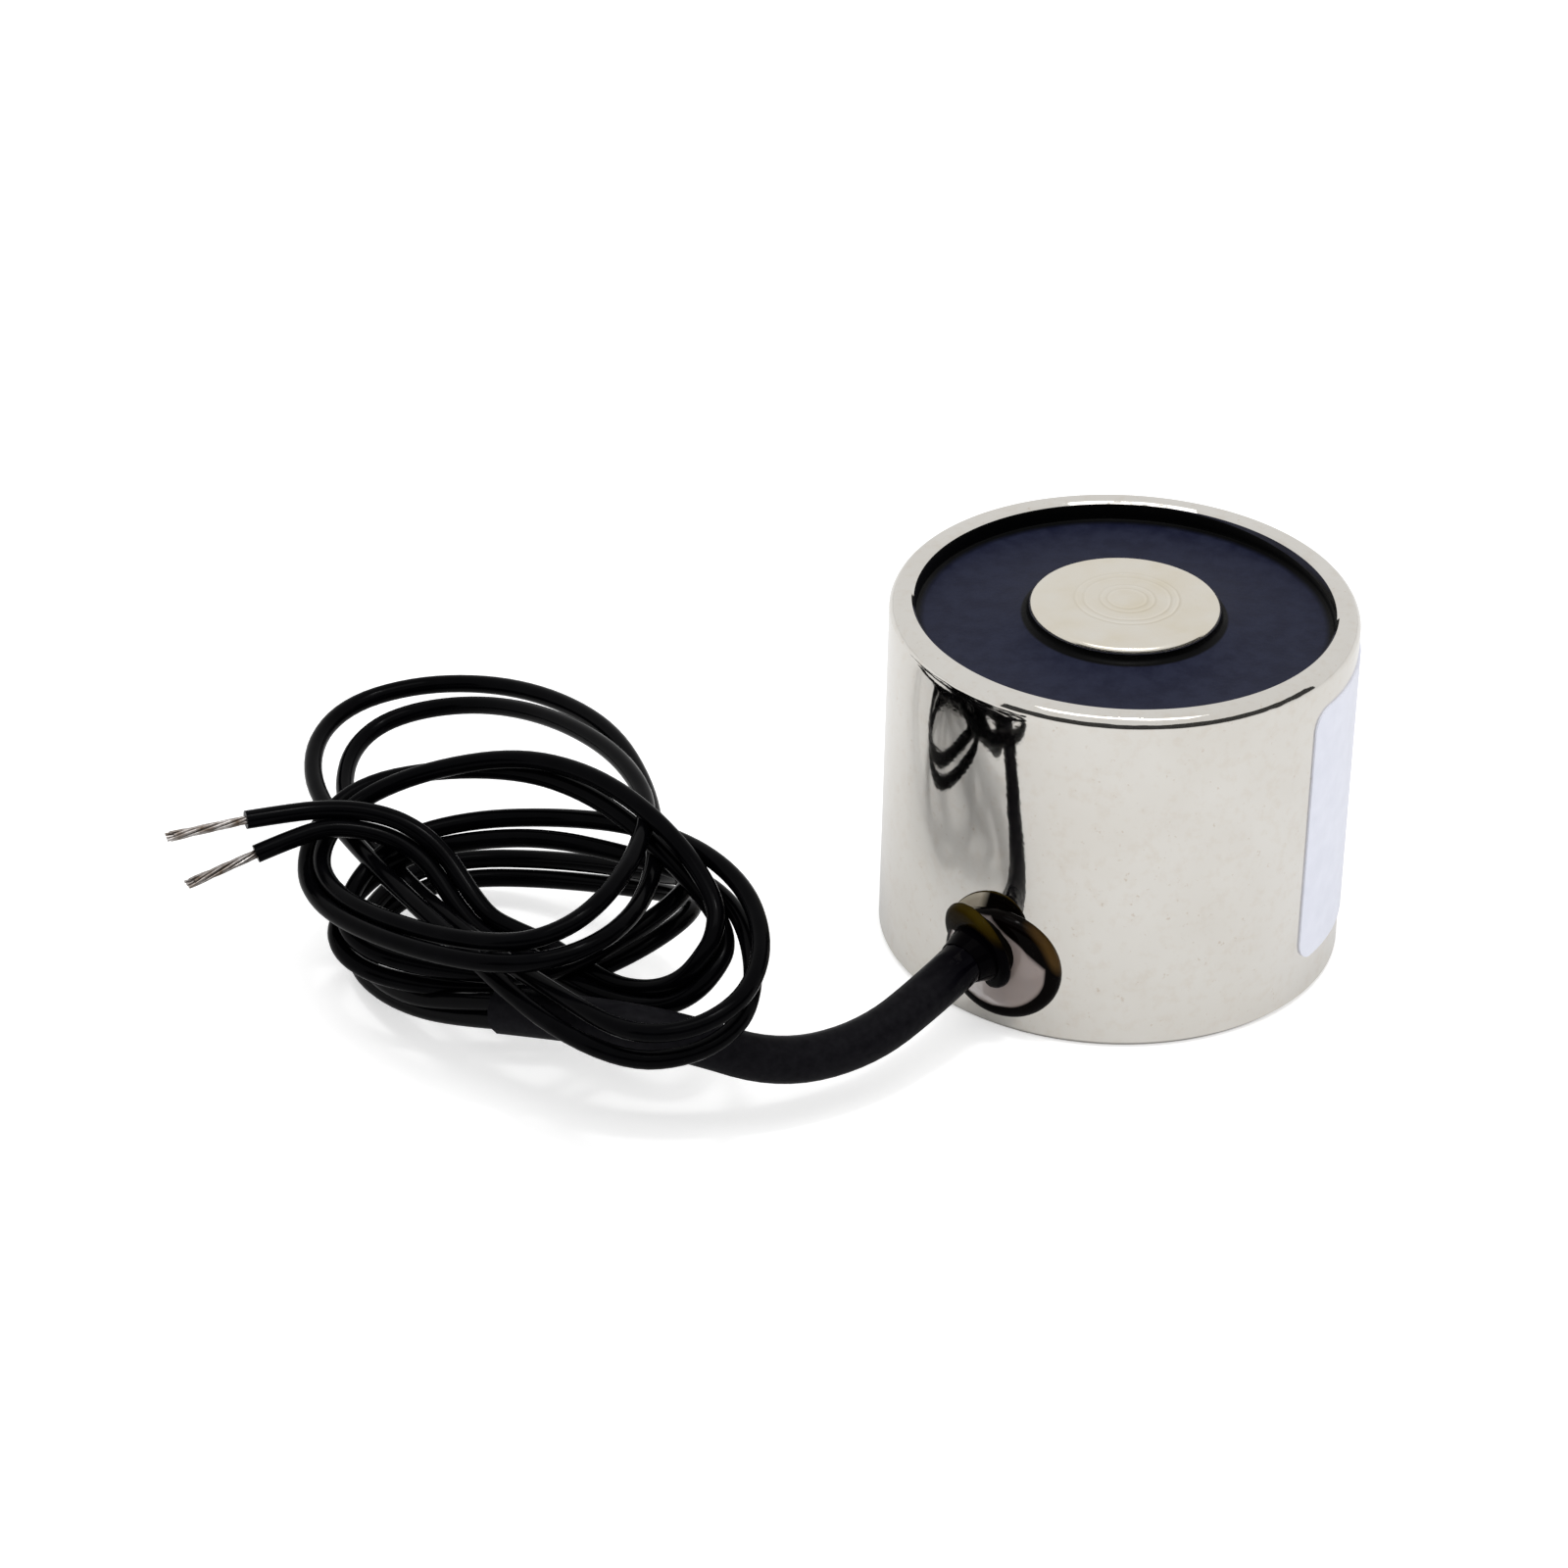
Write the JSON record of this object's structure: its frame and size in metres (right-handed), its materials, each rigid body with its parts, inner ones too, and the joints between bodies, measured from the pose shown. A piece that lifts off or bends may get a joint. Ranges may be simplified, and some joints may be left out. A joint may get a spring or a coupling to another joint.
{
  "type": "round holding electromagnet",
  "caption": "Round pot electromagnet that holds steel against its flat face, fixed by a tapped hole in its rear, with a coiled flying lead.",
  "frame": {"origin": "middle of the rear mounting face, on the magnet's axis", "axes": "+Z along the magnet's axis towards the working face; the lead comes out at the front left, between -Y and -X, and lies towards -X"},
  "size_m": [0.0623, 0.0408, 0.02],
  "materials": {
    "nickel_plate": "polished nickel plate on steel",
    "turned_nickel_plate": "nickel plate over fine turning rings",
    "bobbin_plastic": "moulded, satin",
    "enamelled_copper": "clear enamel",
    "polyester_tape": "thin gloss tape",
    "potting_compound": "satin cast resin",
    "splice_tube": "varnished sleeve",
    "lead_insulation": "glossy insulation",
    "amber_plastic": "olive amber, glossy",
    "amber_resin": "clear amber glue",
    "label_film": "white film",
    "sleeve_plastic": "satin black sleeve",
    "tinned_strands": "tinned copper strands"
  },
  "bodies": {
    "root": {"pot_shell": "nickel_plate", "pole_core": "turned_nickel_plate", "coil_bobbin": "bobbin_plastic", "coil_winding": "enamelled_copper", "winding_tape": "polyester_tape", "potting_resin": "potting_compound", "splice_a": "splice_tube", "splice_b": "splice_tube", "inner_lead_a": "lead_insulation", "inner_lead_b": "lead_insulation", "exit_bush": "amber_plastic", "sealing_resin": "amber_resin", "side_label": "label_film", "lead_coil": "lead_insulation", "lead_sleeve": "sleeve_plastic", "lead_a_end": "lead_insulation", "lead_b_end": "lead_insulation", "conductor_a": "tinned_strands", "conductor_b": "tinned_strands"}
  },
  "joints": []
}
